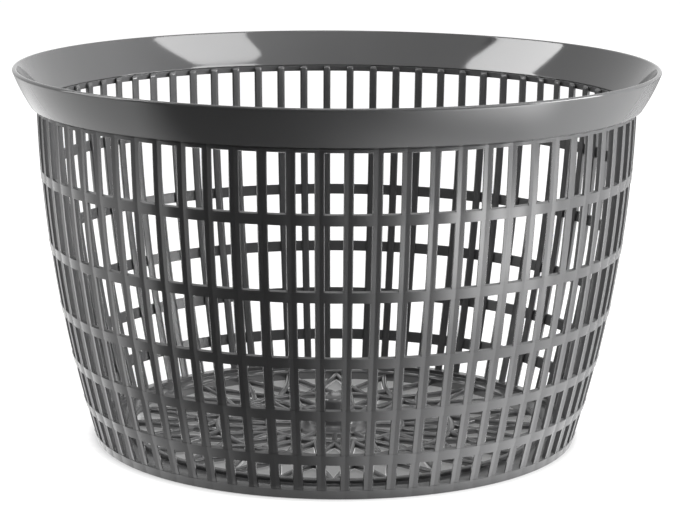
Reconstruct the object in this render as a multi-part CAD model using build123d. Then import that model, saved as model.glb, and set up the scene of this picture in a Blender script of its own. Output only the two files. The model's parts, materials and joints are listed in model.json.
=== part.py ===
"""Strainer basket of a salad spinner.

A flared collar stands on a round lattice wall of upright ribs and hoops. The wall leans outwards on a
gentle curve, stands on a foot ring and is closed below by a flat grille around a domed pivot hub.
The real basket is one moulding. Its members are separate solids here, and they meet face to face.

Millimetres, +Z up, origin in the middle of the foot, on the table.
"""
import os
from math import atan2, cos, degrees, hypot, radians, sin, sqrt

from build123d import *

# The lattice wall
RIB_COUNT = 72              # upright ribs, with one column of windows between neighbours
RIB_GROUPS = 8              # nodes that the ribs are shared out to, neighbours together
RIB_WIDTH = 2.9             # along the wall
RIB_DEPTH = 1.5             # from the hoops inwards
RIB_TOP_BEVEL = 0.9         # on the free inner end of a rib
FOOT_RADIUS = 91.0          # wall outside, at the table
NECK_RADIUS = 111.6         # wall outside, at the top of the windows
WALL_HEIGHT = 124.5         # from the table to the top of the windows
WALL_BULGE = 4.2            # how far the wall swells past the straight line from foot to neck
WINDOW_SHARES = (9.5, 12.9, 15.2, 19.5, 22.7, 20.5)     # heights of the rows of windows, from the foot up
HOOP_HEIGHT = 4.1
HOOP_THICKNESS = 0.9
SEAT_GAP = 0.05             # between members that lie one inside the other

# The foot ring
FOOT_HEIGHT = 3.7           # of the lip that carries the ribs, and of the bead inside it
FOOT_WIDTH = 14.3           # from the wall at the table in to the grille
FOOT_FLOOR = 2.1            # floor between lip and bead, above the table
LIP_MARGIN = 0.3            # of the lip, inside the ribs that stand on it
BEAD_WIDTH = 3.0

# The neck ring and the flared collar
NECK_HEIGHT = 2.3
COLLAR_OVERHANG = 1.8       # lower edge of the collar, out past the neck
COLLAR_LEDGE = 0.4          # step inside, where the collar stands on the neck
COLLAR_HEIGHT = 13.8
COLLAR_SWELL = 0.42         # crown of the collar's outer face
RIM_RADIUS = 120.0
RIM_WALL = 1.8              # collar wall at its lip
LIP_BEVEL = 0.5

# The grille in the base
GRILLE_LIFT = 0.8           # underside of the grille above the table
GRILLE_THICKNESS = 2.0
BAR_WIDTH = 2.4
BAR_COUNT = 24              # places around the grille where bars meet a ring
MIDDLE_RING_RADIUS = 46.0
INNER_RING_RADIUS = 27.0
RING_WIDTH = 3.0
HUB_BAR_COUNT = 12

# The pivot hub
HUB_RADIUS = 16.0
DOME_FOOT_RADIUS = 9.0
DOME_TOP_RADIUS = 5.6
DOME_HEIGHT = 11.0          # above the grille
DOME_BEVEL = 1.6
SOCKET_RADIUS = 3.5         # blind hole for the pin that the basket turns on
SOCKET_DEPTH = 9.0

# Heights of the hoops, with what they leave of the wall shared out to the rows of windows
hoop_count = len(WINDOW_SHARES) - 1
window_unit = (WALL_HEIGHT - FOOT_HEIGHT - hoop_count * HOOP_HEIGHT) / sum(WINDOW_SHARES)
hoop_levels = []
level = FOOT_HEIGHT
for share in WINDOW_SHARES[:hoop_count]:
    level += share * window_unit
    hoop_levels.append((level, level + HOOP_HEIGHT))
    level += HOOP_HEIGHT
collar_level = WALL_HEIGHT + NECK_HEIGHT
rim_level = collar_level + COLLAR_HEIGHT
grille_top = GRILLE_LIFT + GRILLE_THICKNESS

# Spacing of ribs and bars, and the two sides of the bead
rib_pitch = 360 / RIB_COUNT
bar_pitch = 360 / BAR_COUNT
grille_radius = FOOT_RADIUS - FOOT_WIDTH
bead_radius = grille_radius + BEAD_WIDTH

# Circle that the wall's outside follows from foot to neck
wall_chord = hypot(NECK_RADIUS - FOOT_RADIUS, WALL_HEIGHT)
wall_curve = wall_chord**2 / (8 * WALL_BULGE) + WALL_BULGE / 2
centre_reach = wall_curve - WALL_BULGE
curve_radius = (FOOT_RADIUS + NECK_RADIUS) / 2 - centre_reach * WALL_HEIGHT / wall_chord
curve_level = WALL_HEIGHT / 2 + centre_reach * (NECK_RADIUS - FOOT_RADIUS) / wall_chord


def wall_radius(z):
    """Outside of the wall at height z."""
    return curve_radius + sqrt(wall_curve**2 - (z - curve_level)**2)


def seat_radius(z):
    """Inside of the hoops at height z, where the ribs lie against them."""
    return wall_radius(z) - HOOP_THICKNESS


def rib_inside(z):
    """Inner face of the ribs at height z."""
    return seat_radius(z) - SEAT_GAP - RIB_DEPTH


def polygon(corner_radius, corners, first_angle, z=0):
    """Flat face with equal sides, whose first corner is at this angle."""
    angles = [radians(first_angle + corner * 360 / corners) for corner in range(corners)]
    points = [(corner_radius * cos(angle), corner_radius * sin(angle), z) for angle in angles]
    return make_face(Polyline(points, close=True))


def wall_disc(z):
    """Wall's outline at height z, with a corner on each rib and a flat cell between two ribs."""
    return polygon(wall_radius(z), RIB_COUNT, rib_pitch / 2, z)


def seat_disc(radius, z):
    """Polygon with a flat for each rib at this distance from the axis."""
    return polygon(radius / cos(radians(rib_pitch / 2)), RIB_COUNT, 0, z)


def ring_disc(radius):
    """Outline of a ring of the base, with a flat for each bar at this distance from the axis."""
    return polygon(radius / cos(radians(bar_pitch / 4)), 2 * BAR_COUNT, bar_pitch / 4)


def hoop(low, high):
    """Ring of the wall between two heights, with flats inside for the ribs."""
    outside = loft([wall_disc(low), wall_disc(high)], ruled=True)
    lean = (seat_radius(high) - seat_radius(low)) / (high - low)
    past = high - low
    inside = loft([
        seat_disc(seat_radius(low) - lean * past, low - past),
        seat_disc(seat_radius(high) + lean * past, high + past),
    ], ruled=True)
    return outside - inside


def foot_ring():
    """Ring that the basket stands on: a lip under the ribs, a floor, and a bead round the grille."""
    outside = loft([wall_disc(0), wall_disc(FOOT_HEIGHT)], ruled=True)
    trench = ring_disc(rib_inside(FOOT_HEIGHT) - LIP_MARGIN) - ring_disc(bead_radius)
    above_floor = extrude(Pos(0, 0, FOOT_FLOOR) * trench, FOOT_HEIGHT)
    return outside - above_floor - extrude(ring_disc(grille_radius), FOOT_HEIGHT)


def rib():
    """One upright rib, straight from hoop to hoop, with a bevel on its free upper end."""
    heights = [FOOT_HEIGHT] + [(low + high) / 2 for low, high in hoop_levels] + [collar_level]
    outer = [(seat_radius(z) - SEAT_GAP, z) for z in heights]
    inner = [(rib_inside(z), z) for z in heights]
    top_radius, top = inner.pop()
    bevel = [(top_radius + RIB_TOP_BEVEL, top), (top_radius, top - RIB_TOP_BEVEL)]
    side = make_face(Polyline(outer + bevel + inner[::-1], close=True))
    return extrude(Plane.XZ * side, RIB_WIDTH / 2, both=True)


def rib_group(group):
    """Neighbouring ribs, one share of the wall."""
    share = RIB_COUNT // RIB_GROUPS
    one = rib()
    turns = [(group * share + place + 0.5) * rib_pitch for place in range(share)]
    return Compound(children=[Rot(0, 0, turn) * one for turn in turns])


def rim_collar():
    """Flared collar with a crowned outer face and a bevelled lip."""
    foot_outer = (NECK_RADIUS + COLLAR_OVERHANG, collar_level)
    foot_inner = (seat_radius(WALL_HEIGHT) + COLLAR_LEDGE, collar_level)
    lip_outer = (RIM_RADIUS, rim_level - LIP_BEVEL)
    lip_inner = (RIM_RADIUS - RIM_WALL, rim_level)
    outer_face = SagittaArc(foot_outer, lip_outer, -COLLAR_SWELL)
    rest = Polyline(
        lip_outer,
        (RIM_RADIUS - LIP_BEVEL, rim_level),
        lip_inner,
        foot_inner,
        foot_outer,
    )
    return revolve(Plane.XZ * make_face([outer_face, rest]), Axis.Z)


def grille_plate(sketch):
    """Raises a flat pattern to the thickness of the grille."""
    return extrude(Pos(0, 0, GRILLE_LIFT) * sketch, GRILLE_THICKNESS)


def grille_ring(radius):
    return grille_plate(ring_disc(radius) - ring_disc(radius - RING_WIDTH))


def straight_bars(start, end, count):
    """Radial bars of the grille, each its own solid."""
    one = grille_plate(Pos((start + end) / 2, 0) * Rectangle(end - start, BAR_WIDTH))
    return Compound(children=[Rot(0, 0, bar * 360 / count) * one for bar in range(count)])


def leaning_bars(start, end, turn):
    """Mirrored pairs of bars that turn by this angle on their way out, fused where they meet."""
    reach = radians(turn)
    run = (end * cos(reach) - start, end * sin(reach))
    middle = (start + run[0] / 2, run[1] / 2)
    length = hypot(*run)
    lean = degrees(atan2(run[1], run[0]))
    bar = Pos(*middle) * Rot(0, 0, lean) * Rectangle(length + 2 * BAR_WIDTH, BAR_WIDTH)
    pair = [bar, mirror(bar, Plane.XZ)]
    bars = [Rot(0, 0, place * bar_pitch) * half for place in range(BAR_COUNT) for half in pair]
    return grille_plate((bars[0] + bars[1:]) & (ring_disc(end) - ring_disc(start)))


def pivot_hub():
    """Hub plate with a dome over the blind socket that the basket turns on."""
    dome_top = grille_top + DOME_HEIGHT
    half = Polyline(
        (0, GRILLE_LIFT),
        (DOME_FOOT_RADIUS, GRILLE_LIFT),
        (DOME_FOOT_RADIUS, grille_top),
        (DOME_TOP_RADIUS, dome_top - DOME_BEVEL),
        (DOME_TOP_RADIUS - DOME_BEVEL, dome_top),
        (0, dome_top),
        close=True,
    )
    dome = revolve(Plane.XZ * make_face(half), Axis.Z)
    socket = extrude(Pos(0, 0, GRILLE_LIFT) * Circle(SOCKET_RADIUS), SOCKET_DEPTH)
    return grille_plate(ring_disc(HUB_RADIUS)) + dome - socket


def pieces():
    """Every node of the basket, by name."""
    made = {"rim_collar": rim_collar(), "neck_ring": hoop(WALL_HEIGHT, collar_level)}
    for number, (low, high) in enumerate(reversed(hoop_levels), start=1):
        made[f"hoop_{number}"] = hoop(low, high)
    for group in range(RIB_GROUPS):
        made[f"ribs_{group + 1}"] = rib_group(group)
    made["foot_ring"] = foot_ring()
    made["crossed_bars"] = leaning_bars(
        MIDDLE_RING_RADIUS + SEAT_GAP, grille_radius - SEAT_GAP, bar_pitch)
    made["middle_ring"] = grille_ring(MIDDLE_RING_RADIUS)
    made["middle_bars"] = leaning_bars(
        INNER_RING_RADIUS + SEAT_GAP, MIDDLE_RING_RADIUS - RING_WIDTH - SEAT_GAP, bar_pitch / 2)
    made["inner_ring"] = grille_ring(INNER_RING_RADIUS)
    made["hub_bars"] = straight_bars(
        HUB_RADIUS + SEAT_GAP, INNER_RING_RADIUS - RING_WIDTH - SEAT_GAP, HUB_BAR_COUNT)
    made["pivot_hub"] = pivot_hub()
    return made


os.makedirs("parts", exist_ok=True)
for node, shape in pieces().items():
    export_step(shape, f"parts/{node}.step")
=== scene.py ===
"""Looks of the strainer basket of a salad spinner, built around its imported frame.

Metres, +Z up, the basket's axis on Z and its foot on z = 0. Every piece is a mesh of rings, ribs and bars
that takes its heights and radii from the frame, with the moulding's rounded edges, shallow cells, and
windows that widen outwards.
"""
import json
import math

import bmesh
import bpy
import numpy as np
from mathutils import Matrix, Vector


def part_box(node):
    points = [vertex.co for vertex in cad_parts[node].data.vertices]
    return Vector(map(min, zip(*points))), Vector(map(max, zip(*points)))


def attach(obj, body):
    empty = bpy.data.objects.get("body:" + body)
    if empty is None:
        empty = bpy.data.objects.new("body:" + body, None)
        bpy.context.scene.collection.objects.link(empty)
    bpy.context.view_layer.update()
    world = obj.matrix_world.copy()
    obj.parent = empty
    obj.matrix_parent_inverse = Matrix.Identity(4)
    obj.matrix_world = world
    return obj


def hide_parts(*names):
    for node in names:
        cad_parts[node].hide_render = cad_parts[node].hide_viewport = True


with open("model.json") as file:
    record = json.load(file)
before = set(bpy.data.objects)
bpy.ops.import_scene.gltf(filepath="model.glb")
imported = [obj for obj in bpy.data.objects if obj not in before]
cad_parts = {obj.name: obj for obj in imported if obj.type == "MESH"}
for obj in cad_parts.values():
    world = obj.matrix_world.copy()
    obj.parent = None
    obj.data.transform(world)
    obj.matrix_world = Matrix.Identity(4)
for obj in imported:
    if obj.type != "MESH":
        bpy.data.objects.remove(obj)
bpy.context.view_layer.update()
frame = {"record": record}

MM = 0.001
BODY = "root"
PLASTIC_COLOUR = frame["record"]["materials"][0]["base_color"]
SMALL_EDGE = 0.30 * MM                      # rounding of small edges
EDGE_STEPS = 4                              # steps of a rounded edge
SHARP_ANGLE = math.radians(35)              # edges that turn more than this stay sharp
NEARLY_STRAIGHT = 1e-3                      # corners that turn less than this aren't rounded

# Lattice wall
RIB_COUNT = 72
RIB_GROUPS = 8
HOOP_COUNT = 5
CELL = 2 * math.pi / RIB_COUNT              # angle from one rib to the next
CELL_STATIONS = (-0.5, -0.475, -0.36, -0.22, -0.08, 0.08, 0.22, 0.36, 0.475)   # across one cell, in cells
CELL_CROWN = 0.40 * MM                      # the wall's cells swell this far past the rib lines
CELL_FADE = 4.0 * MM                        # height over which the cells start from the foot
HOOP_THICKNESS = 1.7 * MM
WINDOW_DRAFT = 0.32 * MM                    # windows widen outwards by this at each edge
HOOP_DRAFT_BELOW = 0.12 * MM                # but by this at the lower edge of a hoop
WINDOW_DEPTH = 1.0 * MM                     # depth over which they widen
DRAW_AXIS = math.pi / 2                     # their cores were drawn to the front and the back, along Y
RIB_WIDTH = 3.2 * MM                        # of a rib at its widest, mean of front and back
RIB_FRONT_GAIN = 0.2 * MM                   # ribs are wider by this in front, and narrower behind
RIB_SIDE_GAIN = 1.0 * MM                    # and wider towards the two sides
RIB_NARROWING = 0.5 * MM                    # from a rib's widest place to its back
RIB_DEPTH = 2.6 * MM                        # from the wall's outside inwards
RIB_VALLEY = 0.22 * MM                      # half the width of the valley down a rib's outside
RIB_STEP = 0.20 * MM                        # below a hoop, ribs lie this far under its outer face
RIB_FLUSH = 0.02 * MM                       # above a hoop, they run out of it level with that face
RIB_BACK_EDGE = 0.95 * MM
RIB_ROW_LEVELS = 6                          # stations of a rib up one row of windows
RIB_ROUND_END = 1.4 * MM                    # rounding of a rib's free upper end
RIB_END_TAPER = 0.5                         # share of its width that the round end loses
RIB_END_LEVELS = 8
RIB_SINK = 0.6 * MM                         # foot of a rib, down into the foot ring

# Neck and collar
NECK_GROOVE = 0.8 * MM                      # height of the groove under the collar
NECK_GROOVE_DEPTH = 0.35 * MM
NECK_THICKNESS = 1.2 * MM
COLLAR_OVERHANG = 1.8 * MM
COLLAR_LEDGE = 1.3 * MM                     # foot of the collar's inside, in from the wall's outside
COLLAR_SWELL = 0.42 * MM                    # of its outside, twice that of its inside
COLLAR_WALL = 1.8 * MM
COLLAR_LIP_EDGE = 0.8 * MM
COLLAR_FOOT_EDGE = 0.35 * MM
COLLAR_EDGE_STEPS = 6
COLLAR_SWELL_STEPS = 10
COLLAR_STATIONS = 360

# Foot ring and grille
FOOT_FLOOR = 2.1 * MM
FOOT_LIP = 4.4 * MM
FOOT_EDGE = 0.4 * MM
BEAD_WIDTH = 3.0 * MM
BEAD_EDGE = 0.9 * MM
BAR_COUNT = 24
HUB_BAR_COUNT = 12
BAR_WIDTH = 2.4 * MM
BAR_EDGE = 0.95 * MM
BAR_BOW = 1.3 * MM                          # sideways swell of a leaning bar
BAR_STATIONS = 15
BAR_OVERLAP = 0.5 * MM                      # a bar's end, into the ring that it meets
RING_WIDTH = 3.0 * MM
RING_STATIONS = 192
DOME_FOOT_RADIUS = 9.0 * MM
DOME_TOP_RADIUS = 5.6 * MM
DOME_ROUND = 3.2 * MM
DOME_FILLET = 1.6 * MM
SOCKET_RADIUS = 3.5 * MM
SOCKET_DEPTH = 9.0 * MM
HUB_EDGE_STEPS = 8


def heights(node):
    """Lowest and highest level of a CAD node."""
    low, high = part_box(node)
    return low.z, high.z


def reach(node):
    """How far a CAD node reaches from the axis, along X."""
    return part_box(node)[1].x


def wall_point(node):
    """Radius and height of the top edge of one of the wall's rings, on its rib lines."""
    return reach(node) / math.cos(CELL / 2), heights(node)[1]


def circle_through(a, b, c):
    """Centre and radius of the circle through three points of a plane."""
    pull = np.array([[b[0] - a[0], b[1] - a[1]], [c[0] - a[0], c[1] - a[1]]])
    sums = np.array([
        (b[0] ** 2 - a[0] ** 2 + b[1] ** 2 - a[1] ** 2) / 2,
        (c[0] ** 2 - a[0] ** 2 + c[1] ** 2 - a[1] ** 2) / 2,
    ])
    centre = np.linalg.solve(pull, sums)
    return centre[0], centre[1], math.dist(centre, a)


curve_radius, curve_level, wall_curve = circle_through(
    wall_point("foot_ring"), wall_point("hoop_3"), wall_point("neck_ring"))


def wall_radius(z):
    """Outside of the wall at height z."""
    return curve_radius + np.sqrt(wall_curve ** 2 - (np.asarray(z) - curve_level) ** 2)


def cell_dip(angle):
    """How far the outside lies under the crown of its cell: nothing mid-cell, most on a rib line."""
    off = (np.asarray(angle) / CELL + 0.5) % 1 - 0.5
    return CELL_CROWN * (2 * off) ** 2


# Meshes

def rounded_outline(corners, steps=EDGE_STEPS):
    """Closed outline through corners (x, y, rounding), each rounded off by an arc."""
    points = []
    count = len(corners)
    for place, (x, y, rounding) in enumerate(corners):
        here = np.array([x, y])
        before = np.array(corners[place - 1][:2]) - here
        after = np.array(corners[(place + 1) % count][:2]) - here
        before /= np.linalg.norm(before)
        after /= np.linalg.norm(after)
        opening = math.acos(np.clip(before @ after, -1, 1))
        if rounding == 0 or math.pi - opening < NEARLY_STRAIGHT:
            points.append(here)
            continue
        middle = (before + after) / np.linalg.norm(before + after)
        centre = here + middle * rounding / math.sin(opening / 2)
        turn = math.pi - opening
        side = np.array([-middle[1], middle[0]])
        lean = 1 if side @ before > 0 else -1
        for step in range(steps + 1):
            swing = turn * (0.5 - step / steps) * lean
            points.append(centre + rounding * (-middle * math.cos(swing) + side * math.sin(swing)))
    return np.array(points)


def arc_between(start, end, swell, steps):
    """Points after start and before end on an arc that swells to the right of the way there."""
    start, end = np.array(start), np.array(end)
    along = end - start
    right = np.array([along[1], -along[0]]) / np.linalg.norm(along)
    shares = np.arange(1, steps) / steps
    return [tuple(start + along * t + right * swell * 4 * t * (1 - t)) + (0,) for t in shares]


def grid_faces(rows, columns, rows_close, columns_close, first):
    """Quads of a grid of points, whose rows and columns may close into loops."""
    faces = []
    for row in range(rows if rows_close else rows - 1):
        here = first + row * columns
        there = first + (row + 1) % rows * columns
        for column in range(columns if columns_close else columns - 1):
            beside = (column + 1) % columns
            faces.append((here + column, there + column, there + beside, here + beside))
    return faces


class Moulding:
    """Points and faces of one piece, collected from closed loops of section."""

    def __init__(self):
        self.points = []
        self.faces = []

    def loft(self, loops, close):
        """Skins loops of equal length, end to end, or closed by flat ends."""
        first = len(self.points)
        rows, columns = len(loops), len(loops[0])
        for loop in loops:
            self.points.extend(map(tuple, loop))
        self.faces.extend(grid_faces(rows, columns, close, True, first))
        if not close:
            last = first + (rows - 1) * columns
            self.faces.append(tuple(range(first + columns - 1, first - 1, -1)))
            self.faces.append(tuple(range(last, last + columns)))

    def spin(self, outline, stations):
        """Skins an outline (radius, height) turned about the axis, on which its two ends lie."""
        first = len(self.points)
        columns = len(outline) - 2
        for angle in turn_angles(stations):
            self.points.extend(map(tuple, on_circle(outline[1:-1, 0], angle, outline[1:-1, 1])))
        self.faces.extend(grid_faces(stations, columns, True, False, first))
        for column, (_, z) in ((0, outline[0]), (columns - 1, outline[-1])):
            pole = len(self.points)
            self.points.append((0, 0, z))
            for row in range(stations):
                beside = (row + 1) % stations
                self.faces.append((pole, first + row * columns + column, first + beside * columns + column))

    def piece(self, name, finish, *nodes):
        """Object of this mesh, in place of CAD nodes."""
        mesh = bpy.data.meshes.new(name)
        mesh.from_pydata(self.points, [], self.faces)
        mesh.validate()
        turn_outwards(mesh)
        mesh.polygons.foreach_set("use_smooth", [True] * len(mesh.polygons))
        mesh.set_sharp_from_angle(angle=SHARP_ANGLE)
        mesh.materials.append(finish)
        made = bpy.data.objects.new(name, mesh)
        bpy.context.scene.collection.objects.link(made)
        evened = made.modifiers.new("even_normals", "WEIGHTED_NORMAL")
        evened.keep_sharp = True
        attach(made, BODY)
        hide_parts(*nodes)


def turn_outwards(mesh):
    """Makes every face look out of its solid."""
    shape = bmesh.new()
    shape.from_mesh(mesh)
    bmesh.ops.recalc_face_normals(shape, faces=shape.faces)
    shape.to_mesh(mesh)
    shape.free()


def on_circle(radius, angle, z):
    """Points at these radii and heights, all at one angle round the axis."""
    radius, z = np.broadcast_arrays(radius, z)
    return np.stack([radius * math.cos(angle), radius * math.sin(angle), z], axis=1)


def turn_angles(stations):
    """Angles evenly round the axis."""
    return [2 * math.pi * station / stations for station in range(stations)]


def cell_angles():
    """Angles round the wall, closer together at the rib lines."""
    return [(cell + station) * CELL for cell in range(RIB_COUNT) for station in CELL_STATIONS]


def wall_ring(outline, thickness):
    """Ring of the wall: its outline (radius, height), with cells in its outside that fade at the foot."""
    ring = Moulding()
    radius, z = outline[:, 0], outline[:, 1]
    share = np.clip(1 - (wall_radius(z) - radius) / thickness, 0, 1) * np.clip(z / CELL_FADE, 0, 1)
    ring.loft([on_circle(radius - share * cell_dip(angle), angle, z) for angle in cell_angles()], close=True)
    return ring


def turned_ring(outline, stations):
    """Smooth ring with this outline (radius, height)."""
    ring = Moulding()
    loops = [on_circle(outline[:, 0], angle, outline[:, 1]) for angle in turn_angles(stations)]
    ring.loft(loops, close=True)
    return ring


def hoop_outline(low, high):
    """Section of a hoop, whose top and bottom slope as the windows' drafted sides."""
    return rounded_outline([
        (wall_radius(low) - HOOP_THICKNESS, low, 0),
        (wall_radius(low) - WINDOW_DEPTH, low, 0),
        (wall_radius(low), low + HOOP_DRAFT_BELOW, 0),
        (wall_radius(high), high - WINDOW_DRAFT, 0),
        (wall_radius(high) - WINDOW_DEPTH, high, 0),
        (wall_radius(high) - HOOP_THICKNESS, high, 0),
    ])


def neck_outline(low, high):
    """Section of the neck: a band below and a groove under the collar."""
    band = high - NECK_GROOVE
    inside = float(wall_radius(low)) - NECK_THICKNESS
    groove = float(wall_radius(high)) - NECK_GROOVE_DEPTH
    edge = SMALL_EDGE / 2
    return rounded_outline([
        (inside, low, edge),
        (float(wall_radius(low)), low + WINDOW_DRAFT, 0),
        (float(wall_radius(band)), band, edge),
        (groove, band, 0),
        (groove, high, 0),
        (inside, high, edge),
    ])


def collar_section(low, high, lip_reach):
    """Section of the collar whose outer lip corner, before its rounding, is at this radius."""
    neck = wall_point("neck_ring")[0]
    foot_outer = (neck + COLLAR_OVERHANG, low)
    foot_inner = (neck - COLLAR_LEDGE, low)
    lip_outer = (lip_reach, high)
    lip_inner = (lip_reach - COLLAR_WALL, high)
    return rounded_outline([
        (*foot_inner, COLLAR_FOOT_EDGE),
        (*foot_outer, COLLAR_FOOT_EDGE),
        *arc_between(foot_outer, lip_outer, COLLAR_SWELL, COLLAR_SWELL_STEPS),
        (*lip_outer, COLLAR_LIP_EDGE),
        (*lip_inner, COLLAR_LIP_EDGE),
        *arc_between(lip_inner, foot_inner, -COLLAR_SWELL / 2, COLLAR_SWELL_STEPS),
    ], steps=COLLAR_EDGE_STEPS)


def collar_outline(low, high):
    """Section of the flared collar, crowned outside, whose round lip reaches as far as the CAD lip."""
    full = reach("rim_collar")
    lost = full - collar_section(low, high, full)[:, 0].max()
    return collar_section(low, high, full + lost)


def foot_outline(low, high):
    """Section of the foot ring: a lip under the ribs, a floor and a round bead."""
    inside = reach("crossed_bars")
    bead = inside + BEAD_WIDTH
    lip = float(wall_radius(high)) - FOOT_LIP
    edge = SMALL_EDGE
    return rounded_outline([
        (inside, low, edge),
        (float(wall_radius(low)), low, FOOT_EDGE),
        (float(wall_radius(high)), high - WINDOW_DRAFT, 0),
        (float(wall_radius(high)) - WINDOW_DEPTH, high, 0),
        (lip, high, edge),
        (lip, FOOT_FLOOR, edge),
        (bead, FOOT_FLOOR, edge),
        (bead, high, BEAD_EDGE),
        (inside, high, BEAD_EDGE),
    ])


def rib_section(angle):
    """Section of a rib (across, inwards): a shallow valley down the outside, drafted sides, a round back."""
    turn = angle - DRAW_AXIS
    width = RIB_WIDTH - RIB_FRONT_GAIN * math.cos(turn) + RIB_SIDE_GAIN * abs(math.sin(turn))
    half, narrow = width / 2, (width - RIB_NARROWING) / 2
    face = half - WINDOW_DRAFT
    return rounded_outline([
        (-half, WINDOW_DEPTH, 0),
        (-face, 0, 0),
        (-face / 2, 0, 0),
        (-RIB_VALLEY, 0, 0),
        (0, 0, 0),
        (RIB_VALLEY, 0, 0),
        (face / 2, 0, 0),
        (face, 0, 0),
        (half, WINDOW_DEPTH, 0),
        (narrow, RIB_DEPTH, RIB_BACK_EDGE),
        (-narrow, RIB_DEPTH, RIB_BACK_EDGE),
    ])


def wall_levels():
    """Heights at which rows of windows end and start, up the wall from the foot ring to the neck."""
    levels = [heights("foot_ring")[1]]
    for number in range(HOOP_COUNT, 0, -1):
        levels.extend(heights(f"hoop_{number}"))
    return levels + [heights("neck_ring")[0]]


row_ends = wall_levels()


def rib_recess(z):
    """How far a rib lies under the wall's outside at height z."""
    return np.interp(z, row_ends, [RIB_FLUSH, RIB_STEP] * (len(row_ends) // 2))


def rib_stations(bottom, top):
    """Heights up a rib, each with the shares of its depth and width that its round end leaves there."""
    levels = [bottom]
    for low, high in zip(row_ends[::2], row_ends[1::2]):
        levels.extend(np.linspace(low, high, RIB_ROW_LEVELS))
    straight = [(z, 1, 1) for z in levels + [top - RIB_ROUND_END]]
    turns = [math.pi / 2 * step / RIB_END_LEVELS for step in range(1, RIB_END_LEVELS + 1)]
    ends = []
    for turn in turns:
        z = top - RIB_ROUND_END * (1 - math.sin(turn))
        gone = 1 - math.cos(turn)
        ends.append((z, 1 - gone * RIB_ROUND_END / RIB_DEPTH, 1 - gone * RIB_END_TAPER))
    return straight + ends


def rib_slant(angle):
    """Sideways run of a rib's sides: along the way of drawing in front and behind, straight in elsewhere."""
    turn = math.remainder(angle - DRAW_AXIS, math.pi)
    steep = abs(math.tan(turn))
    return math.copysign(min(steep, 1 / steep), turn)


def rib_loops(angle, bottom, top):
    """Loops of one rib, from the foot ring up to the neck, with its sides along the way of drawing."""
    section = rib_section(angle)
    outward = np.array([math.cos(angle), math.sin(angle), 0])
    across = np.array([-math.sin(angle), math.cos(angle), 0])
    slant = rib_slant(angle)
    loops = []
    for z, share, width in rib_stations(bottom, top):
        outside = float(wall_radius(z))
        dip = cell_dip(CELL / 2 + section[:, 0] / outside) * (1 - section[:, 1] / RIB_DEPTH)
        radius = outside - rib_recess(z) - dip - section[:, 1] * share
        aside = section[:, 0] * width + section[:, 1] * share * slant
        loops.append(radius[:, None] * outward + aside[:, None] * across + np.array([0, 0, z]))
    return loops


def bar_loops(path, low, high):
    """Loops of a bar of the grille along points of its plan."""
    path = np.array(path)
    half = BAR_WIDTH / 2
    section = rounded_outline([
        (-half, low, SMALL_EDGE), (half, low, SMALL_EDGE), (half, high, BAR_EDGE), (-half, high, BAR_EDGE)])
    along = np.gradient(path, axis=0)
    along /= np.linalg.norm(along, axis=1)[:, None]
    loops = []
    for point, way in zip(path, along):
        across = np.array([way[1], -way[0]])
        plan = point + section[:, :1] * across
        loops.append(np.column_stack([plan, section[:, 1]]))
    return loops


def bowed_path(start, end, bow):
    """Points of the plan from start to end, swelling sideways by bow halfway."""
    start, end = np.array(start), np.array(end)
    along = end - start
    side = np.array([-along[1], along[0]]) / np.linalg.norm(along)
    shares = np.linspace(0, 1, BAR_STATIONS)
    return [start + along * t + side * bow * math.sin(math.pi * t) for t in shares]


def plan_point(radius, angle):
    """Point of the plan at this radius and angle."""
    return radius * math.cos(angle), radius * math.sin(angle)


def grille_bars(node, start, end, count, turns, bow):
    """Bars from one radius out to another, each turned about the axis by one of the turns on its way."""
    bars = Moulding()
    low, high = heights(node)
    for angle in turn_angles(count):
        for turn in turns:
            inner, outer = plan_point(start, angle), plan_point(end, angle + turn)
            path = bowed_path(inner, outer, math.copysign(bow, turn))
            bars.loft(bar_loops(path, low, high), close=False)
    return bars


def grille_ring(node):
    """Ring of the grille with a round top."""
    low, high = heights(node)
    outer = reach(node)
    inner = outer - RING_WIDTH
    outline = rounded_outline([
        (inner, low, SMALL_EDGE), (outer, low, SMALL_EDGE), (outer, high, BAR_EDGE), (inner, high, BAR_EDGE)])
    return turned_ring(outline, RING_STATIONS)


def pivot_hub():
    """Hub plate with a round dome over the blind socket."""
    low, top = heights("pivot_hub")
    plate = heights("hub_bars")[1]
    radius = reach("pivot_hub")
    hub = Moulding()
    hub.spin(rounded_outline([
        (0, low + SOCKET_DEPTH, 0),
        (SOCKET_RADIUS, low + SOCKET_DEPTH, SMALL_EDGE),
        (SOCKET_RADIUS, low, SMALL_EDGE),
        (radius, low, SMALL_EDGE),
        (radius, plate, BAR_EDGE),
        (DOME_FOOT_RADIUS, plate, DOME_FILLET),
        (DOME_TOP_RADIUS, top, DOME_ROUND),
        (0, top, 0),
    ], steps=HUB_EDGE_STEPS), RING_STATIONS)
    return hub


# Finishes

PLASTIC_IOR = 1.48
DRIFT_NOISE = (14, 3)                       # scale per metre and detail
GLOSS_NOISE = (45, 4)
GRAIN_NOISE = (1800, 2)
NOISE_SPAN = (0.3, 0.7)                     # the part of a noise that is spread from low to high
GRAIN_STRENGTH = 0.25
FINISHES = {
    # drift of tone, range of roughness, depth of grain
    "collar_plastic": (0.05, (0.05, 0.08), 0.004 * MM),
    "lattice_plastic": (0.08, (0.16, 0.26), 0.02 * MM),
    "grille_plastic": (0.10, (0.08, 0.15), 0.02 * MM),
}
SURFACE_INPUTS = {"Plastic": "Color", "Tone Drift": "Float", "Gloss Low": "Float", "Gloss High": "Float"}
SURFACE_OUTPUTS = {"Colour": "Color", "Roughness": "Float", "Grain": "Float"}


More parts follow.
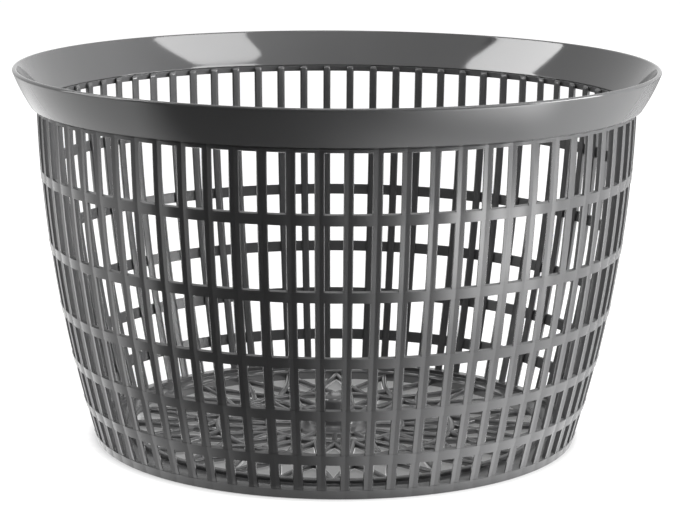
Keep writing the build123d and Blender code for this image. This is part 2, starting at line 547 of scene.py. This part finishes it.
def moulded_surface():
    """Node group of what a moulding shows up close: drifting tone, patchy gloss and a faint grain."""
    group = bpy.data.node_groups.new("moulded_surface", "ShaderNodeTree")
    for side, sockets in (("INPUT", SURFACE_INPUTS), ("OUTPUT", SURFACE_OUTPUTS)):
        for name, kind in sockets.items():
            group.interface.new_socket(name=name, in_out=side, socket_type=f"NodeSocket{kind}")
    nodes, links = group.nodes, group.links
    inputs = nodes.new("NodeGroupInput")
    outputs = nodes.new("NodeGroupOutput")
    place = nodes.new("ShaderNodeTexCoord")

    def noise(scale, detail):
        """Noise fixed to the piece."""
        made = nodes.new("ShaderNodeTexNoise")
        made.inputs["Scale"].default_value = scale
        made.inputs["Detail"].default_value = detail
        links.new(place.outputs["Object"], made.inputs["Vector"])
        return made.outputs["Fac"]

    def spread(value, low, high):
        """Noise spread from low to high, which are numbers or sockets."""
        made = nodes.new("ShaderNodeMapRange")
        made.inputs["From Min"].default_value, made.inputs["From Max"].default_value = NOISE_SPAN
        links.new(value, made.inputs["Value"])
        for name, end in (("To Min", low), ("To Max", high)):
            if isinstance(end, (int, float)):
                made.inputs[name].default_value = end
            else:
                links.new(end, made.inputs[name])
        return made.outputs["Result"]

    drift = nodes.new("ShaderNodeMath")
    drift.operation = "MULTIPLY"
    links.new(spread(noise(*DRIFT_NOISE), -1, 1), drift.inputs[0])
    links.new(inputs.outputs["Tone Drift"], drift.inputs[1])
    lift = nodes.new("ShaderNodeMath")
    lift.operation = "ADD"
    lift.inputs[1].default_value = 1
    links.new(drift.outputs[0], lift.inputs[0])
    tone = nodes.new("ShaderNodeVectorMath")
    tone.operation = "SCALE"
    links.new(inputs.outputs["Plastic"], tone.inputs[0])
    links.new(lift.outputs[0], tone.inputs["Scale"])
    links.new(tone.outputs[0], outputs.inputs["Colour"])
    gloss = spread(noise(*GLOSS_NOISE), inputs.outputs["Gloss Low"], inputs.outputs["Gloss High"])
    links.new(gloss, outputs.inputs["Roughness"])
    links.new(noise(*GRAIN_NOISE), outputs.inputs["Grain"])
    return group


surface = moulded_surface()


def moulded_plastic(name, drift, gloss, grain):
    """Grey moulded plastic with this drift of tone, range of roughness and depth of grain."""
    made = bpy.data.materials.new(name)
    made.use_nodes = True
    nodes, links = made.node_tree.nodes, made.node_tree.links
    shader = nodes["Principled BSDF"]
    shader.inputs["IOR"].default_value = PLASTIC_IOR
    look = nodes.new("ShaderNodeGroup")
    look.node_tree = surface
    look.inputs["Plastic"].default_value = (*PLASTIC_COLOUR, 1)
    look.inputs["Tone Drift"].default_value = drift
    look.inputs["Gloss Low"].default_value, look.inputs["Gloss High"].default_value = gloss
    bump = nodes.new("ShaderNodeBump")
    bump.inputs["Strength"].default_value = GRAIN_STRENGTH
    bump.inputs["Distance"].default_value = grain
    links.new(look.outputs["Colour"], shader.inputs["Base Color"])
    links.new(look.outputs["Roughness"], shader.inputs["Roughness"])
    links.new(look.outputs["Grain"], bump.inputs["Height"])
    links.new(bump.outputs["Normal"], shader.inputs["Normal"])
    return made


collar_finish, wall_finish, base_finish = [moulded_plastic(name, *look) for name, look in FINISHES.items()]

# The basket, from the rim down
collar = turned_ring(collar_outline(*heights("rim_collar")), COLLAR_STATIONS)
collar.piece("collar", collar_finish, "rim_collar")
neck_band = wall_ring(neck_outline(*heights("neck_ring")), NECK_THICKNESS)
neck_band.piece("neck_band", wall_finish, "neck_ring")
for number in range(1, HOOP_COUNT + 1):
    node = f"hoop_{number}"
    hoop = wall_ring(hoop_outline(*heights(node)), HOOP_THICKNESS)
    hoop.piece(f"wall_{node}", wall_finish, node)

rib_bottom = heights("foot_ring")[1] - RIB_SINK
rib_top = heights("neck_ring")[1]
group_size = RIB_COUNT // RIB_GROUPS
for group in range(RIB_GROUPS):
    ribs = Moulding()
    for place in range(group * group_size, (group + 1) * group_size):
        ribs.loft(rib_loops((place + 0.5) * CELL, rib_bottom, rib_top), close=False)
    ribs.piece(f"wall_ribs_{group + 1}", wall_finish, f"ribs_{group + 1}")

foot = wall_ring(foot_outline(*heights("foot_ring")), FOOT_LIP)
foot.piece("foot", wall_finish, "foot_ring")

bar_pitch = 2 * math.pi / BAR_COUNT
middle_radius = reach("middle_ring")
inner_radius = reach("inner_ring")
lattice = grille_bars(
    "crossed_bars", middle_radius - BAR_OVERLAP, reach("crossed_bars") + BAR_OVERLAP,
    BAR_COUNT, (bar_pitch, -bar_pitch), BAR_BOW)
lattice.piece("grille_lattice", base_finish, "crossed_bars")
grille_ring("middle_ring").piece("grille_middle_ring", base_finish, "middle_ring")
arches = grille_bars(
    "middle_bars", inner_radius - BAR_OVERLAP, middle_radius - RING_WIDTH + BAR_OVERLAP,
    BAR_COUNT, (bar_pitch / 2, -bar_pitch / 2), 0)
arches.piece("grille_arches", base_finish, "middle_bars")
grille_ring("inner_ring").piece("grille_inner_ring", base_finish, "inner_ring")
hub_bars = grille_bars(
    "hub_bars", reach("pivot_hub") - BAR_OVERLAP, inner_radius - RING_WIDTH + BAR_OVERLAP,
    HUB_BAR_COUNT, (0,), 0)
hub_bars.piece("grille_hub_bars", base_finish, "hub_bars")
pivot_hub().piece("hub_dome", base_finish, "pivot_hub")

# Set: pale floor, room pale behind and dark in front, softboxes, slanted panels, and a table in front,
# painted dark as shade and painted with light
WHITE = (1, 1, 1, 1)
BLACK = (0, 0, 0, 1)
FLOOR_REACH = 6.0
FLOOR_TONE = 0.29
FLOOR_GLOW = (0.18, 0.96)                   # added to its own light, under the basket and beside it; low under the basket as painted shade
FLOOR_GLOW_REACH = (0.086, 0.096)           # between these distances from the axis
FLOOR_PAINTED_REFLECTION = (1.35, 0.45)               # painted reflection: glow that only reflections see, beside the basket and far off
FLOOR_MIRRORED_REACH = (0.4, 0.8)
FLOOR_MIRRORED_SIDES = (1, 0.4)             # shares of that left and right of the basket
FLOOR_MIRRORED_TURN = (-0.05, 0.2)          # between these places along X
TABLE_REACH = (0.095, 1.2)                  # inner and outer radius of the table top
TABLE_SPAN = (-70, 80)                      # in degrees to the right of the camera
TABLE_STEPS = 64
TABLE_LIFT = 0.0002
# painted shade: the table is dark so that the basket's front mirrors shade
TABLE_SHADE_TONE = 0.05
TABLE_SHADE_SLOPE = 0.61                    # of the line in plan past which it takes the floor's tone
TABLE_SHADE = (-0.05, 0.055)                # distances past it along Y, from dark to pale
TABLE_END = (56, 80)                        # degrees over which it turns pale again on the right
TABLE_PAINTED_STRIP = (1.1, 0.2)                     # radiance of a painted strip of light along the foot, on the left and past it
TABLE_NEAR_TURN = (-48, -12)                # between these degrees
TABLE_NEAR_REACH = (0.15, 0.105)            # distances over which it fades outwards
TABLE_PAINTED_POOL = 1.45                           # radiance of a painted pool of light beside the basket
TABLE_POOL_RISE = (-15, 32)                 # degrees over which the pool brightens
TABLE_POOL_FALL = (48, 88)                  # and fades again
TABLE_POOL_REACH = (0.24, 0.12)             # distances over which it fades outwards
TABLE_PAINTED_GLOW = 7.4                            # radiance of painted light on the table's right side
TABLE_GLOW_RISE = (12, 52)
TABLE_GLOW_FALL = (60, 80)
TABLE_GLOW_REACH = (0.175, 0.32)            # distances over which it brightens outwards
TABLE_GLOW_DEPTH = (-0.34, -0.26)           # and fades towards the camera, along Y
ROOM_FADE = (-0.3, 0.3)                     # from the dark front to the pale back, along Y
ROOM_TONES = (0.02, 0.21)
SOFTBOXES = {
    # azimuth to the right of the camera, elevation, distance, width, height, radiance
    "right": (86, 12, 2.0, 1.07, 0.85, 17),
    "left": (-90, 16, 1.3, 0.70, 0.62, 4.4),
    "top": (0, 80, 1.3, 0.42, 0.32, 7),
}
PANELS = {
    # radiance, whether it lights the basket too, and azimuth and elevation of the four corners
    "right_front": (10.4, True, (98, 33.5), (33, 49), (32, 60), (83, 52)),
    "left_high": (12.5, False, (-84, 40), (-114, 28.5), (-107.4, 45), (-71.5, 56.5)),
    "front_right_high": (0.85, False, (-8, 34), (60, 30), (60, 58), (-8, 69)),
    "front_left_high": (0.95, False, (-76, 30), (-8, 34), (-8, 69), (-76, 58)),
}
PANEL_DISTANCE = 1.2
BASKET_MIDDLE = Vector((0, 0, 0.09))
PICTURE_WIDTH = 680                         # in pixels
FOCAL_LENGTH = 2374                         # in the same pixels
CAMERA_SHIFT = 4.1                          # sideways, in the same pixels
SENSOR_WIDTH = 36
CAMERA_PLACE = (0, -0.8808, 0.2468)
CAMERA_PITCH = math.radians(11.54)          # downwards
CAMERA_ROLL = 0.0054
CAMERA_TURN = math.radians(0.35)            # about the basket's axis


def sheet(name, points, faces, paint):
    """Flat stage piece."""
    mesh = bpy.data.meshes.new(name)
    mesh.from_pydata(points, [], faces)
    mesh.materials.append(paint)
    made = bpy.data.objects.new(name, mesh)
    bpy.context.scene.collection.objects.link(made)
    return made


def table_top():
    """Ring sector round the front of the basket, for reflections alone, painted dark as shade and with
    patches of painted light.
    """
    angles = np.radians(np.linspace(*TABLE_SPAN, TABLE_STEPS))
    points = [(radius * math.sin(angle), -radius * math.cos(angle), TABLE_LIFT)
              for angle in angles for radius in TABLE_REACH]
    faces = [(2 * step, 2 * step + 1, 2 * step + 3, 2 * step + 2) for step in range(len(angles) - 1)]
    made = sheet("painted_light_table", points, faces, table_paint())
    made.visible_camera = False
    made.visible_shadow = False


def matt_paint(name):
    """Paint without gloss, and its node tree."""
    paint = bpy.data.materials.new(name)
    paint.use_nodes = True
    shader = paint.node_tree.nodes["Principled BSDF"]
    shader.inputs["Roughness"].default_value = 1
    shader.inputs["Specular IOR Level"].default_value = 0
    return paint, paint.node_tree, shader


def graded(tree, value, span, tones):
    """Value that runs from one tone to another while its input crosses a span."""
    run = tree.nodes.new("ShaderNodeMapRange")
    run.interpolation_type = "SMOOTHSTEP"
    for name, end in zip(("From Min", "From Max", "To Min", "To Max"), (*span, *tones)):
        run.inputs[name].default_value = end
    tree.links.new(value, run.inputs["Value"])
    return run.outputs["Result"]


def sides_of(tree, output):
    """X, Y and Z of where a texture lies."""
    place = tree.nodes.new("ShaderNodeTexCoord")
    parts = tree.nodes.new("ShaderNodeSeparateXYZ")
    tree.links.new(place.outputs[output], parts.inputs[0])
    return parts.outputs


def worked_out(tree, operation, *values):
    """Value that a math node works out of sockets and numbers."""
    made = tree.nodes.new("ShaderNodeMath")
    made.operation = operation
    for place, value in enumerate(values):
        if isinstance(value, (int, float)):
            made.inputs[place].default_value = value
        else:
            tree.links.new(value, made.inputs[place])
    return made.outputs[0]


def product(tree, value, *factors):
    """Value times each of the factors."""
    for factor in factors:
        value = worked_out(tree, "MULTIPLY", value, factor)
    return value


def mirrored_rays(tree):
    """1 for what reflections see, otherwise 0."""
    rays = tree.nodes.new("ShaderNodeLightPath").outputs
    return worked_out(tree, "MAXIMUM", rays["Is Glossy Ray"], rays["Is Transmission Ray"])


def camera_rays(tree):
    """1 for what the camera sees directly, otherwise 0."""
    return tree.nodes.new("ShaderNodeLightPath").outputs["Is Camera Ray"]


def distance_out(tree, sides):
    """Distance from the axis."""
    squares = [product(tree, sides[axis], sides[axis]) for axis in "XY"]
    return worked_out(tree, "SQRT", worked_out(tree, "ADD", *squares))


def painted_floor_reflection(tree, sides, away):
    """Painted reflection of lit floor: glow that reflections see, brighter beside the basket, and on the
    left.
    """
    across = graded(tree, sides["X"], FLOOR_MIRRORED_TURN, FLOOR_MIRRORED_SIDES)
    return product(tree, across, graded(tree, away, FLOOR_MIRRORED_REACH, FLOOR_PAINTED_REFLECTION))


def floor_paint():
    """Pale floor that glows towards the camera and in reflections, as the picture's white ground."""
    paint, tree, shader = matt_paint("floor_paint")
    shader.inputs["Base Color"].default_value = (FLOOR_TONE, FLOOR_TONE, FLOOR_TONE, 1)
    shader.inputs["Emission Color"].default_value = WHITE
    sides = sides_of(tree, "Object")
    away = distance_out(tree, sides)
    # painted shade: the camera's glow is kept low under the basket, which darkens the floor there
    seen = product(tree, camera_rays(tree), graded(tree, away, FLOOR_GLOW_REACH, FLOOR_GLOW))
    # painted reflection: glow that only reflections see, standing in for lit floor
    shown = product(tree, mirrored_rays(tree), painted_floor_reflection(tree, sides, away))
    tree.links.new(worked_out(tree, "ADD", seen, shown), shader.inputs["Emission Strength"])
    return paint


def table_paint():
    """Table top painted dark as shade, turning into the floor at both ends, with a painted pool of light and
    painted light on its right side.
    """
    paint, tree, shader = matt_paint("table_paint")
    shader.inputs["Emission Color"].default_value = WHITE
    sides = sides_of(tree, "Object")
    away = distance_out(tree, sides)
    turn = worked_out(tree, "DEGREES", worked_out(tree, "ARCTAN2", sides["X"], product(tree, sides["Y"], -1)))
    # painted light: a pool of light beside the basket
    pool = product(
        tree,
        graded(tree, turn, TABLE_POOL_RISE, (0, TABLE_PAINTED_POOL)),
        graded(tree, turn, TABLE_POOL_FALL, (1, 0)),
        graded(tree, away, TABLE_POOL_REACH, (0, 1)))
    # painted light on the table's right side
    glow = product(
        tree,
        graded(tree, turn, TABLE_GLOW_RISE, (0, TABLE_PAINTED_GLOW)),
        graded(tree, turn, TABLE_GLOW_FALL, (1, 0)),
        graded(tree, away, TABLE_GLOW_REACH, (0, 1)),
        graded(tree, sides["Y"], TABLE_GLOW_DEPTH, (0, 1)))
    # painted shade: dark up to a slanting line in front and up to the right end, pale like the floor past
    # them
    past_line = worked_out(tree, "MULTIPLY_ADD", sides["X"], -TABLE_SHADE_SLOPE, sides["Y"])
    pale = worked_out(
        tree, "MAXIMUM", graded(tree, past_line, TABLE_SHADE, (0, 1)), graded(tree, turn, TABLE_END, (0, 1)))
    tree.links.new(graded(tree, pale, (0, 1), (TABLE_SHADE_TONE, FLOOR_TONE)), shader.inputs["Base Color"])
    # painted reflection: where the table turns pale, it shows the floor's painted reflection
    floor_glow = product(tree, pale, painted_floor_reflection(tree, sides, away))
    # painted light: a strip along the foot
    strip = product(
        tree,
        graded(tree, turn, TABLE_NEAR_TURN, TABLE_PAINTED_STRIP),
        graded(tree, away, TABLE_NEAR_REACH, (0, 1)))
    strength = worked_out(tree, "MAXIMUM", floor_glow, strip)
    for light in (pool, glow):
        strength = worked_out(tree, "ADD", strength, light)
    tree.links.new(strength, shader.inputs["Emission Strength"])
    return paint


def surround():
    """Room round the set, dark on the camera's side and pale behind the basket, where it is seen as white."""
    world = bpy.data.worlds.new("surround")
    world.use_nodes = True
    tree = world.node_tree
    depth = sides_of(tree, "Generated")["Y"]
    shown = product(tree, mirrored_rays(tree), graded(tree, depth, ROOM_FADE, (0, 1)))
    seen = worked_out(tree, "MAXIMUM", shown, camera_rays(tree))
    seen = worked_out(tree, "MAXIMUM", seen, graded(tree, depth, ROOM_FADE, ROOM_TONES))
    tree.links.new(seen, tree.nodes["Background"].inputs["Color"])
    bpy.context.scene.world = world


def around_basket(azimuth, elevation, distance):
    """Place in this direction from the basket, with the azimuth measured to the right of the camera."""
    side, up = math.radians(azimuth), math.radians(elevation)
    return BASKET_MIDDLE + distance * Vector((
        math.sin(side) * math.cos(up), -math.cos(side) * math.cos(up), math.sin(up)))


def softbox(name, azimuth, elevation, distance, width, height, radiance):
    """Area lamp that looks at the basket."""
    lamp = bpy.data.lights.new(name, "AREA")
    lamp.shape = "RECTANGLE"
    lamp.size, lamp.size_y = width, height
    lamp.energy = radiance * math.pi * width * height
    made = bpy.data.objects.new(name, lamp)
    made.location = around_basket(azimuth, elevation, distance)
    made.rotation_euler = (BASKET_MIDDLE - made.location).to_track_quat("-Z", "Y").to_euler()
    made.visible_camera = False
    bpy.context.scene.collection.objects.link(made)


def lit_panel(name, radiance, lights, *corners):
    """Slanted panel that the collar's inside mirrors."""
    paint, _, shader = matt_paint(name)
    shader.inputs["Base Color"].default_value = BLACK
    shader.inputs["Emission Color"].default_value = WHITE
    shader.inputs["Emission Strength"].default_value = radiance
    points = [around_basket(*corner, PANEL_DISTANCE) for corner in corners]
    made = sheet(name, points, [(0, 1, 2, 3)], paint)
    made.visible_camera = False
    made.visible_diffuse = lights


def camera():
    """Camera at the photo's place, with its small roll and shift."""
    lens = bpy.data.cameras.new("camera")
    lens.sensor_width = SENSOR_WIDTH
    lens.lens = FOCAL_LENGTH / PICTURE_WIDTH * SENSOR_WIDTH
    lens.shift_x = CAMERA_SHIFT / PICTURE_WIDTH
    made = bpy.data.objects.new("camera", lens)
    tilt = Matrix.Rotation(math.pi / 2 - CAMERA_PITCH, 4, "X") @ Matrix.Rotation(CAMERA_ROLL, 4, "Z")
    made.matrix_world = Matrix.Rotation(CAMERA_TURN, 4, "Z") @ Matrix.Translation(CAMERA_PLACE) @ tilt
    bpy.context.scene.collection.objects.link(made)
    bpy.context.scene.camera = made


floor_corners = [(x * FLOOR_REACH, y * FLOOR_REACH, 0) for x, y in ((-1, -1), (1, -1), (1, 1), (-1, 1))]
sheet("floor", floor_corners, [(0, 1, 2, 3)], floor_paint())
table_top()
surround()
for name, setting in SOFTBOXES.items():
    softbox(f"softbox_{name}", *setting)
for name, setting in PANELS.items():
    lit_panel(f"panel_{name}", *setting)
camera()
bpy.context.scene.view_settings.view_transform = "Standard"
